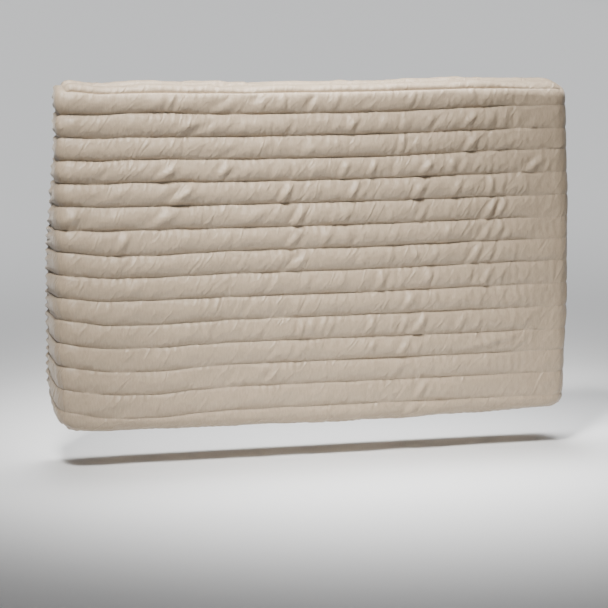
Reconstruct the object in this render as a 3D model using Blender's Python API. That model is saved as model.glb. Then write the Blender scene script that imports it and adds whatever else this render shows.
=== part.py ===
"""A fitted quilted cloth cover: one padded skin in the shape of a shallow box, open at the back.

Metres, +Z up. X runs along the width, the front face looks towards -Y and the open back towards +Y. The
origin lies against the underside of the top wall, at its middle, where the cover hangs on what it covers.
"""

import bmesh
import bpy
import numpy as np

MM = 0.001

# Size over the stitched surface of the cloth
WIDTH = 0.635
DEPTH = 0.090
HALF = WIDTH / 2

# The quilt: its thickness on a stitch line, and how far each channel puffs out to either side
SEAM_THICKNESS = 0.0028
CROWN_OUT = 0.0050
CROWN_IN = 0.0016
CHANNEL = 0.0271
PILLOW_FLATNESS = 2.4
PILLOW_POWER = 0.85

# One row for each sewn line of the front, from the one on the top edge down, and one for the foot of the
# front. The level is its height in millimetres at mid width. The next three say how much higher it runs at
# the left end, a third of the way in, and at the right end, and side_rise how much it climbs on the side
# walls towards the back. The last is how full the channel below it is.
ROW_COLUMNS = ("level", "left_end", "left_third", "right_end", "side_rise", "fullness")
ROWS = (
    (393.7, 4.4, 1.7, 3.0, 0.0, 0.90),
    (367.2, 1.9, 3.5, 5.3, 0.0, 1.00),
    (341.0, 1.9, 1.2, 3.5, 0.0, 1.00),
    (314.2, 2.0, 2.0, 4.6, 0.0, 1.00),
    (287.9, 1.6, 1.3, 3.0, 0.0, 1.00),
    (260.9, 2.0, 0.2, 1.8, 0.0, 1.00),
    (233.2, 1.6, 0.5, 2.5, -1.0, 1.00),
    (206.1, 3.6, -3.0, 2.6, -2.0, 0.95),
    (179.0, 3.4, -1.8, 2.6, -2.0, 0.95),
    (151.1, 4.4, -1.0, 2.0, 1.0, 0.95),
    (123.8, 6.2, -3.0, 0.8, 4.0, 0.90),
    (96.4, 5.2, -3.0, -0.3, 10.0, 0.85),
    (69.6, 4.9, -4.6, 0.3, 13.0, 0.80),
    (42.7, 4.6, -5.2, -0.2, 17.0, 0.70),
    (14.5, 6.8, -5.5, -0.8, 26.0, 0.60),
    (-7.5, 4.0, 1.0, 2.0, 20.0, 0.60),
)
ORIGIN_LEVEL = 389.5 * MM
FOOT = len(ROWS) - 1
RIGHT_RISE_SHARE = 0.5

# Where the uneven run of the lines starts and ends along the width
LEFT_END = (-0.262, -0.317)
LEFT_THIRD_AT = -0.215
LEFT_THIRD_REACH = 0.065
RIGHT_END = (0.040, 0.250)
SIDE_RISE_FROM = 0.200
SIDE_RISE_POWER = 1.6

# Channels of the top and bottom walls: the first line behind the front edge, and the part of the lowest
# front channel that lies on the front
BOTTOM_FIRST_LINE = 0.012
FOOT_PHASE = 0.75
FOOT_BLEND = 0.020
CORNER_SEAM_REACH = 0.016
CORNER_BLEND = 0.024
FLAT_FROM_X = 0.150
FLAT_SHARE = 0.65

# Rounding of the edges
SIDE_RADIUS_LEFT = 0.018
SIDE_RADIUS_RIGHT = 0.020
FRONT_RADIUS = 0.022
TOP_RADIUS = 0.006
TOP_FRONT_RADIUS = 0.009
TOP_RIGHT_RADIUS = 0.015
BOTTOM_RADIUS = 0.016
RIGHT_ROUNDING_FROM = 0.150
FRONT_ROUNDING_DROP = (0.05, 0.12)
BACK_CORNER_GROWTH = 0.016
BACK_CORNER_FROM = 0.200
BACK_CORNER_DROP = (0.24, 0.38)

# Shape that the hang of the cloth adds: the front swells, the side walls bow, and the elastic hem draws in
FRONT_SWELL = 0.0030
BOW_LEFT = 0.0015
BOW_RIGHT = 0.0060
FOOT_OUT_RIGHT = 0.0050
HEM_TOP = 0.002
HEM_BOTTOM = 0.007
HEM_RIGHT = 0.007
HEM_LEFT_LOW = 0.004
HEM_LEFT_HIGH = 0.017
HEM_STARTS = 0.052
HEM_ENDS = 0.0954
HEM_DRAW_POWER = 1.5
HEM_HIGH_PART = (0.45, 0.85)
HEM_LIFTED_PART = (0.6, 1.0)
HEM_FLAT_FROM = 0.066
HEM_FLAT_SHARE = 0.45
WALLS_MOVE_FROM = 0.143
GATHER = 0.0011
GATHER_PITCH = 0.029
GATHER_STARTS = 0.045

# Main puckers of the front: centre, length, slant from level, half width and height, in millimetres and
# degrees. A negative height is a trough.
PUCKER_COLUMNS = ("x", "level", "length", "slant", "half_width", "height")
PUCKER_END_POWER = 1.5
PUCKERS = (
    (-187.0, 380.0, 24.0, 66.0, 10.0, -1.4),
    (-128.0, 381.0, 34.0, 28.0, 10.0, -1.5),
    (-16.0, 380.0, 22.0, 58.0, 10.0, -2.0),
    (17.0, 380.0, 20.0, 65.0, 10.0, 1.2),
    (112.0, 381.0, 22.0, 60.0, 10.0, -1.3),
    (-168.0, 353.0, 30.0, 32.0, 10.0, 1.5),
    (38.0, 354.0, 24.0, 55.0, 10.0, 1.4),
    (187.0, 356.0, 26.0, 48.0, 10.0, 1.4),
    (232.0, 356.0, 24.0, 80.0, 10.0, -1.2),
    (-118.0, 324.0, 28.0, 30.0, 10.0, -1.0),
    (96.0, 330.0, 24.0, 80.0, 10.0, -1.3),
    (191.0, 329.0, 28.0, 52.0, 10.0, 1.8),
    (214.0, 320.0, 18.0, 40.0, 10.0, -1.6),
    (-195.0, 302.0, 30.0, 34.0, 11.0, 1.4),
    (-124.0, 302.0, 24.0, 48.0, 10.0, 1.4),
    (62.0, 302.0, 22.0, 62.0, 10.0, 1.2),
    (129.0, 300.0, 30.0, 46.0, 10.0, 1.6),
    (264.0, 299.0, 32.0, 42.0, 11.0, 1.2),
    (-174.0, 276.0, 42.0, 36.0, 10.0, 1.8),
    (-46.0, 274.0, 28.0, 58.0, 10.0, 1.9),
    (41.0, 277.0, 24.0, 58.0, 10.0, 1.4),
    (121.0, 271.0, 26.0, 50.0, 10.0, 1.5),
    (211.0, 275.0, 26.0, 72.0, 10.0, 1.4),
    (-188.0, 247.0, 38.0, 32.0, 11.0, 1.3),
    (-30.0, 247.0, 30.0, 58.0, 10.0, 1.9),
    (214.0, 248.0, 28.0, 58.0, 10.0, 1.7),
    (-244.0, 219.0, 26.0, 58.0, 11.0, 1.3),
    (-34.0, 219.0, 32.0, 46.0, 10.0, 1.5),
    (221.0, 219.0, 26.0, 58.0, 10.0, 1.4),
    (-40.0, 191.0, 30.0, 44.0, 10.0, -1.3),
    (195.0, 193.0, 26.0, 64.0, 10.0, 1.4),
    (75.0, 164.0, 24.0, 66.0, 10.0, 1.3),
    (207.0, 165.0, 24.0, 64.0, 10.0, 1.3),
    (111.0, 137.0, 26.0, 58.0, 10.0, 1.1),
    (-31.0, 110.0, 22.0, 84.0, 10.0, -1.4),
    (124.0, 109.0, 28.0, 52.0, 10.0, 1.5),
    (215.0, 83.0, 62.0, 10.0, 10.0, 1.0),
    (-64.0, 54.0, 22.0, 52.0, 10.0, -1.2),
    (130.0, 28.0, 26.0, 54.0, 10.0, 1.2),
)

# Grid of the outer cloth
CHANNEL_STEPS = (0.0, 0.2, 0.5, 0.8)
FOOT_STEPS = (0.0, 0.3, 0.65)
DEPTH_STEPS = (0.0, 0.006, 0.012, 0.0195, 0.027, 0.040, 0.054, 0.068, 0.080, DEPTH)
COLUMN_STEP = 0.0130
ARC_STEP = 0.4142

# Grid of the inner cloth
INNER_CHANNEL_STEPS = (0.0, 0.5)
INNER_DEPTH_STEPS = (0.0, 0.009, 0.022, 0.050, 0.074, DEPTH)
INNER_COLUMN_STEP = 0.080


def column_of(table, names, name):
    return np.array([row[names.index(name)] for row in table])


def smooth(value):
    """Runs gently from 0 to 1 as the value does."""
    t = np.clip(value, 0.0, 1.0)
    return t * t * (3 - 2 * t)


def between(value, start, end):
    return smooth((value - start) / (end - start))


def pillow(phase):
    """Height across one channel: 0 on its two stitch lines and 1 along its middle."""
    f = phase - np.floor(phase)
    return (1 - np.abs(2 * f - 1) ** PILLOW_FLATNESS) ** PILLOW_POWER


def line_height(row, x, e):
    """Height of a line of the grid. Whole rows are sewn lines, and e is the depth behind the front."""
    levels = {name: column_of(ROWS, ROW_COLUMNS, name) for name in ROW_COLUMNS}
    lower = np.minimum(np.floor(row).astype(int), FOOT - 1)
    part = row - lower

    def at(name):
        values = levels[name] * MM
        return values[lower] * (1 - part) + values[lower + 1] * part

    height = at("level") + at("left_end") * between(x, *LEFT_END)
    height = height + at("left_third") * np.exp(-(((x - LEFT_THIRD_AT) / LEFT_THIRD_REACH) ** 2))
    height = height + at("right_end") * between(x, *RIGHT_END)
    share = np.where(x < 0, 1.0, RIGHT_RISE_SHARE) * between(np.abs(x), SIDE_RISE_FROM, HALF)
    return height + at("side_rise") * share * (e / DEPTH) ** SIDE_RISE_POWER - ORIGIN_LEVEL


def fullness(row, x):
    """How full a channel is: less towards the foot, and drawn flat towards the right end."""
    full = column_of(ROWS, ROW_COLUMNS, "fullness")[np.minimum(np.floor(row).astype(int), FOOT)]
    return full * (1 - FLAT_SHARE * between(x, FLAT_FROM_X, HALF))


def phase_of(row, x, e):
    """Place across the channels, by whole numbers from line to line, all over the cover."""
    edge = 1 - between(HALF - np.abs(x), 0.0, CORNER_BLEND)
    ends = FOOT_PHASE + (1 - FOOT_PHASE) * np.maximum(edge, between(e, 0.0, FOOT_BLEND))
    front = np.where(row > FOOT - 1, FOOT - 1 + (row - FOOT + 1) * ends, row)
    on_top = row == 0
    on_bottom = row == FOOT
    on_side = np.abs(x) >= HALF
    foot_end = FOOT_PHASE + (1 - FOOT_PHASE) * edge
    near = FOOT - 1 + foot_end + (1 - foot_end) * e / BOTTOM_FIRST_LINE
    beyond = FOOT + (e - BOTTOM_FIRST_LINE) / CHANNEL
    bottom = np.where(e < BOTTOM_FIRST_LINE, near, beyond)
    phase = np.where(on_bottom & ~on_side, bottom, front)
    return np.where(on_top & ~on_side, -e / CHANNEL, phase)


def pucker_relief(x, z):
    """Soft troughs and ridges of the front, each a short slanting lens."""
    relief = np.zeros_like(x)
    for row in PUCKERS:
        pucker = dict(zip(PUCKER_COLUMNS, row))
        across_x = x - pucker["x"] * MM
        across_z = z + ORIGIN_LEVEL - pucker["level"] * MM
        c, s = np.cos(np.radians(pucker["slant"])), np.sin(np.radians(pucker["slant"]))
        along = (across_x * c + across_z * s) / (pucker["length"] * MM / 2)
        aside = (across_z * c - across_x * s) / (pucker["half_width"] * MM)
        ends = np.clip(1 - along**2, 0, None) ** PUCKER_END_POWER
        relief += pucker["height"] * MM * ends * np.exp(-(aside**2))
    return relief


def gathers(x, z, e):
    """Small in-and-out folds of the hem, which fade towards the front."""
    run = np.where(np.abs(x) >= HALF, z, x)
    return GATHER * np.cos(2 * np.pi * run / GATHER_PITCH) * between(e, GATHER_STARTS, DEPTH)


def hang(x, y, z, e):
    """Bows, swells and draws in a point of the boxed cloth, as the whole cover hangs."""
    top = line_height(np.zeros_like(x), x, e)
    foot = line_height(np.full_like(x, FOOT), x, e)
    up = np.clip((z - foot) / (top - foot), 0.0, 1.0)
    aside = between(np.abs(x), WALLS_MOVE_FROM, HALF)
    side = np.sign(x)
    bow_right = BOW_RIGHT * np.sin(np.pi * up) + FOOT_OUT_RIGHT * (1 - up)
    bow = np.where(x < 0, BOW_LEFT * np.sin(np.pi * up), bow_right)
    high = between(up, *HEM_HIGH_PART)
    late = between(e, HEM_STARTS, HEM_ENDS)
    whole = (np.clip(e, 0, DEPTH) / DEPTH) ** HEM_DRAW_POWER
    left_in = HEM_LEFT_LOW * late + (HEM_LEFT_HIGH - HEM_LEFT_LOW) * high * whole
    inward = np.where(x < 0, left_in, HEM_RIGHT * late)
    swell = FRONT_SWELL * (1 - (x / HALF) ** 2) * np.sin(np.pi * up) * (1 - e / DEPTH)
    lift = HEM_BOTTOM * between(1 - up, *HEM_LIFTED_PART) - HEM_TOP * between(up, *HEM_LIFTED_PART)
    return x + side * aside * (bow - inward), y - swell, z + lift * late


def cloth_point(x, row, e, outer):
    """Points of the cloth's outer or inner face, as an array with x, y and z in its last axis."""
    z = line_height(row, x, e)
    top = line_height(np.zeros_like(x), x, e)
    foot = line_height(np.full_like(x, FOOT), x, e)
    y = -DEPTH / 2 + e
    right = between(x, RIGHT_ROUNDING_FROM, HALF)
    low = between(top - z, *FRONT_ROUNDING_DROP)
    corner = between(-x, BACK_CORNER_FROM, HALF) * between(top - z, *BACK_CORNER_DROP)
    back = BACK_CORNER_GROWTH * corner * e / DEPTH
    rx = np.where(x < 0, SIDE_RADIUS_LEFT, SIDE_RADIUS_RIGHT) + back
    ry_top = TOP_FRONT_RADIUS + (FRONT_RADIUS - TOP_FRONT_RADIUS) * right
    ry = ry_top + (FRONT_RADIUS - ry_top) * low
    rz_top = TOP_RADIUS + (TOP_RIGHT_RADIUS - TOP_RADIUS) * right
    rz_low = BOTTOM_RADIUS + back
    out_x = np.sign(x) * np.clip(np.abs(x) - (HALF - rx), 0, None) / rx
    out_y = -np.clip(ry - e, 0, None) / ry
    out_top = np.clip(z - (top - rz_top), 0, None) / rz_top
    out_low = np.clip((foot + rz_low) - z, 0, None) / rz_low
    length = np.sqrt(out_x**2 + out_y**2 + out_top**2 + out_low**2)

    phase = phase_of(row, x, e)
    puff = pillow(phase) * fullness(np.clip(phase, 0, FOOT), x)
    on_wall = (row == 0) | (row == FOOT)
    seamed = np.where(on_wall & (e > 0), between(HALF - np.abs(x), 0.0, CORNER_SEAM_REACH), 1.0)
    at_first = (row == FOOT) & (e < BOTTOM_FIRST_LINE)
    puff = puff * np.where(at_first, 1.0, seamed) * (1 - HEM_FLAT_SHARE * between(e, HEM_FLAT_FROM, DEPTH))
    offset = gathers(x, z, e)
    if outer:
        offset = offset + CROWN_OUT * puff + pucker_relief(x, z) * np.sqrt(pillow(phase)) * (e == 0)
    else:
        offset = offset - SEAM_THICKNESS - CROWN_IN * puff

    px = x - out_x * rx + (rx + offset) * out_x / length
    py = y - out_y * ry + (ry + offset) * out_y / length
    pz = z - out_top * rz_top + (rz_top + offset) * out_top / length
    pz = pz + out_low * rz_low - (rz_low + offset) * out_low / length
    return np.stack(hang(px, py, pz, e), axis=-1)


def grid_lines(channel_steps, foot_steps, column_step):
    """Rows from the top edge to the foot, and columns from the left end to the right."""
    rows = [line + step for line in range(FOOT - 1) for step in channel_steps]
    rows += [FOOT - 1 + step for step in foot_steps] + [FOOT]
    left = [-HALF, -HALF + SIDE_RADIUS_LEFT * (1 - ARC_STEP), -HALF + SIDE_RADIUS_LEFT]
    right = [HALF - SIDE_RADIUS_RIGHT, HALF - SIDE_RADIUS_RIGHT * (1 - ARC_STEP), HALF]
    count = round((right[0] - left[-1]) / column_step)
    middle = list(np.linspace(left[-1], right[0], count + 1)[1:-1])
    return np.array(rows), np.array(left + middle + right)


def patches(rows, columns, depths):
    """The five faces of the open box, each as grids of x, row and depth."""
    front = np.meshgrid(columns, rows, indexing="ij")
    yield front[0], front[1], np.zeros_like(front[0])
    for x in (-HALF, HALF):
        row, e = np.meshgrid(rows, depths, indexing="ij")
        yield np.full_like(row, x), row, e
    for row in (0.0, float(FOOT)):
        x, e = np.meshgrid(columns, depths, indexing="ij")
        yield x, np.full_like(x, row), e


def add_face_of_cloth(mesh, rows, columns, depths, outer):
    """Adds one face of the cloth to the mesh, and returns the corners of its open edge, once around."""
    found = {}

    def corner(x, row, e, place):
        key = (round(float(x), 7), round(float(row), 4), round(float(e), 7))
        if key not in found:
            found[key] = mesh.verts.new(place)
        return found[key]

    for x, row, e in patches(rows, columns, depths):
        places = cloth_point(x, row, e, outer)
        across, down = x.shape
        corners = [
            [corner(x[i, j], row[i, j], e[i, j], places[i, j]) for j in range(down)] for i in range(across)
        ]
        for i in range(across - 1):
            for j in range(down - 1):
                mesh.faces.new((corners[i][j], corners[i + 1][j], corners[i + 1][j + 1], corners[i][j + 1]))

    path = [(x, 0.0) for x in columns] + [(HALF, row) for row in rows[1:]]
    path += [(x, float(FOOT)) for x in columns[::-1][1:]] + [(-HALF, row) for row in rows[::-1][1:-1]]
    return [found[(round(float(x), 7), round(float(row), 4), round(DEPTH, 7))] for x, row in path]


def close_rim(mesh, outer_loop, inner_loop):
    """Joins the two open edges with a strip of triangles, always taking the shorter next step."""
    a, b = 0, 0
    while a < len(outer_loop) or b < len(inner_loop):
        here_a, here_b = outer_loop[a % len(outer_loop)], inner_loop[b % len(inner_loop)]
        next_a, next_b = outer_loop[(a + 1) % len(outer_loop)], inner_loop[(b + 1) % len(inner_loop)]
        step_a = (next_a.co - here_b.co).length
        step_b = (next_b.co - here_a.co).length
        if b == len(inner_loop) or (a < len(outer_loop) and step_a <= step_b):
            mesh.faces.new((here_a, here_b, next_a))
            a += 1
        else:
            mesh.faces.new((here_a, here_b, next_b))
            b += 1


def cloth_material():
    material = bpy.data.materials.new("beige_quilted_cloth")
    material.use_nodes = True
    surface = material.node_tree.nodes["Principled BSDF"]
    surface.inputs["Base Color"].default_value = (0.43, 0.37, 0.30, 1.0)
    surface.inputs["Roughness"].default_value = 0.55
    surface.inputs["Metallic"].default_value = 0.0
    return material


def quilted_cover():
    mesh = bmesh.new()
    rows, columns = grid_lines(CHANNEL_STEPS, FOOT_STEPS, COLUMN_STEP)
    outer_edge = add_face_of_cloth(mesh, rows, columns, np.array(DEPTH_STEPS), outer=True)
    rows, columns = grid_lines(INNER_CHANNEL_STEPS, INNER_CHANNEL_STEPS, INNER_COLUMN_STEP)
    inner_edge = add_face_of_cloth(mesh, rows, columns, np.array(INNER_DEPTH_STEPS), outer=False)
    close_rim(mesh, outer_edge, inner_edge)
    bmesh.ops.recalc_face_normals(mesh, faces=mesh.faces)
    data = bpy.data.meshes.new("quilted_cover")
    mesh.to_mesh(data)
    mesh.free()
    data.shade_smooth()
    data.materials.append(cloth_material())
    cover = bpy.data.objects.new("quilted_cover", data)
    bpy.context.scene.collection.objects.link(cover)
    return cover


for old in list(bpy.data.objects):
    bpy.data.objects.remove(old, do_unlink=True)

quilted_cover()
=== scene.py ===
"""Looks of the fitted quilted cloth cover. Metres, +Z up, and the front faces -Y."""

import math

import bmesh
import bpy
import numpy as np
from mathutils import Matrix, Vector


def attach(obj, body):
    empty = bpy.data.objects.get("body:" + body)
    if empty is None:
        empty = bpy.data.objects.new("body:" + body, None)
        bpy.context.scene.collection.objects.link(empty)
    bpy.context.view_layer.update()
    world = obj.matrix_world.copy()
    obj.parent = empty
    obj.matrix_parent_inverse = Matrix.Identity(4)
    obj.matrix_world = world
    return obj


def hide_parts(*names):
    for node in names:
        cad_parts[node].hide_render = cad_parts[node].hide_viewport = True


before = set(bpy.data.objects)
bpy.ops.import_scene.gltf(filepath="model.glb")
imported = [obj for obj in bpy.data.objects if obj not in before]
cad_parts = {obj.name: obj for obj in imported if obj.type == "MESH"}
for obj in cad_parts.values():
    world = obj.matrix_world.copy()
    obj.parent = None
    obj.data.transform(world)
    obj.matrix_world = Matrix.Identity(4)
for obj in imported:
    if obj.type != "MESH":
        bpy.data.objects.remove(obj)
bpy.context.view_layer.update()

MM = 0.001

# Size of the cover over the stitched surface, as in the solid it dresses
WIDTH = 0.635
DEPTH = 0.090
HALF = WIDTH / 2
SEAM_THICKNESS = 0.0028
CROWN_OUT = 0.0050
CROWN_IN = 0.0016
CHANNEL = 0.0271
PILLOW_FLATNESS = 2.0
PILLOW_POWER = 0.95
SAG = 1.05
CROWN_UNEVEN = 0.14
CROWN_UNEVEN_SIZE = 0.09

# One row for each sewn line of the front from the top edge down, and one for the foot. Heights are in
# millimetres, as in the solid: the level at mid width, how much higher the line runs at the left end, a
# third of the way in and at the right end, how much it climbs on the side walls, and the channel's fullness.
ROW_COLUMNS = ("level", "left_end", "left_third", "right_end", "side_rise", "fullness")
ROWS = (
    (393.7, 4.4, 1.7, 3.0, 0.0, 0.90),
    (367.2, 1.9, 3.5, 5.3, 0.0, 1.00),
    (341.0, 1.9, 1.2, 3.5, 0.0, 1.00),
    (314.2, 2.0, 2.0, 4.6, 0.0, 1.00),
    (287.9, 1.6, 1.3, 3.0, 0.0, 1.00),
    (260.9, 2.0, 0.2, 1.8, 0.0, 1.00),
    (233.2, 1.6, 0.5, 2.5, -1.0, 1.00),
    (206.1, 3.6, -3.0, 2.6, -2.0, 0.95),
    (179.0, 3.4, -1.8, 2.6, -2.0, 0.95),
    (151.1, 4.4, -1.0, 2.0, 1.0, 0.95),
    (123.8, 6.2, -3.0, 0.8, 4.0, 0.90),
    (96.4, 5.2, -3.0, -0.3, 8.0, 0.85),
    (69.6, 4.9, -4.6, 0.3, 13.0, 0.80),
    (42.7, 4.6, -5.2, -0.2, 17.0, 0.70),
    (14.5, 6.8, -5.5, -0.8, 26.0, 0.60),
    (-7.5, 4.0, 1.0, 2.0, 20.0, 0.60),
)
ORIGIN_LEVEL = 389.5 * MM
FOOT = len(ROWS) - 1
RIGHT_RISE_SHARE = 0.5
LEFT_END = (-0.262, -0.317)
LEFT_THIRD_AT = -0.215
LEFT_THIRD_REACH = 0.065
RIGHT_END = (0.040, 0.250)
SIDE_RISE_FROM = 0.200
SIDE_RISE_POWER = 1.6
LINE_WOBBLE = 0.0005
LINE_WOBBLE_SIZE = 0.045
LINE_WOBBLE_PER_ROW = 0.4

# Channels of the top and bottom walls, and where the channels flatten
BOTTOM_FIRST_LINE = 0.012
FOOT_PHASE = 0.75
FOOT_BLEND = 0.020
CORNER_SEAM_REACH = 0.016
CORNER_BLEND = 0.024
FLAT_FROM_X = 0.150
FLAT_SHARE = 0.65
FADE_FROM_X = 0.205
FADE_SHARE = 0.55
LOW_LEFT_ROWS = (6, 12)
LOW_LEFT_FROM = (0.02, -0.12)
LOW_LEFT_SHARE = 0.30

# Fine upright ripples near the right end. Each bend has a strength, a size and a start.
SIDE_RIPPLE = 0.00045
SIDE_RIPPLE_PITCH = 0.0095
SIDE_RIPPLE_LEAN = 0.12
SIDE_RIPPLE_BENDS = ((1.5, 0.021, 0.0), (1.1, 0.047, 1.0))
SIDE_RIPPLE_PATCH = 0.06

# Rounding of the edges
SIDE_RADIUS_LEFT = 0.018
SIDE_RADIUS_RIGHT = 0.020
FRONT_RADIUS = 0.022
TOP_RADIUS = 0.006
TOP_FRONT_RADIUS = 0.009
TOP_RIGHT_RADIUS = 0.015
BOTTOM_RADIUS = 0.016
RIGHT_ROUNDING_FROM = 0.150
FRONT_ROUNDING_DROP = (0.05, 0.12)
BACK_CORNER_GROWTH = 0.016
BACK_CORNER_FROM = 0.200
BACK_CORNER_DROP = (0.24, 0.38)

# The hang of the cloth, and its hem
FRONT_SWELL = 0.0030
BOW_LEFT = 0.0015
BOW_RIGHT = 0.0060
FOOT_OUT_RIGHT = 0.0050
HEM_TOP = 0.002
TOP_SWELL = 0.0050
TOP_SWELL_PART = (0.90, 1.0)
HEM_BOTTOM = 0.007
HEM_RIGHT = 0.007
HEM_LEFT_LOW = 0.004
HEM_LEFT_HIGH = 0.017
HEM_STARTS = 0.052
HEM_ENDS = 0.0954
HEM_DRAW_POWER = 1.5
HEM_HIGH_PART = (0.45, 0.85)
HEM_LIFTED_PART = (0.6, 1.0)
HEM_FLAT_FROM = 0.050
HEM_FLAT_SHARE = 0.35
WALLS_MOVE_FROM = 0.143
WALL_FLAT_SHARE = 0.40
WALL_FLAT_BY = 0.030
HEM_BAND = 0.011
HEM_BAND_BLEND = (DEPTH - 1.5 * HEM_BAND, DEPTH - 0.9 * HEM_BAND)
HEM_BAND_CROWN = 0.0012
HEM_BAND_CROWN_PART = (DEPTH - HEM_BAND, DEPTH * 1.02)
GATHER = 0.0020
GATHER_TOP_SHARE = 0.25
GATHER_PITCH = 0.0100
GATHER_LEAN = 0.12
GATHER_BENDS = ((1.4, 0.031, 0.0), (0.9, 0.0117, 1.0))
GATHER_STARTS = 0.004
GATHER_LATER = 0.036
GATHER_HIGH = (-0.26, -0.16)

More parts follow.
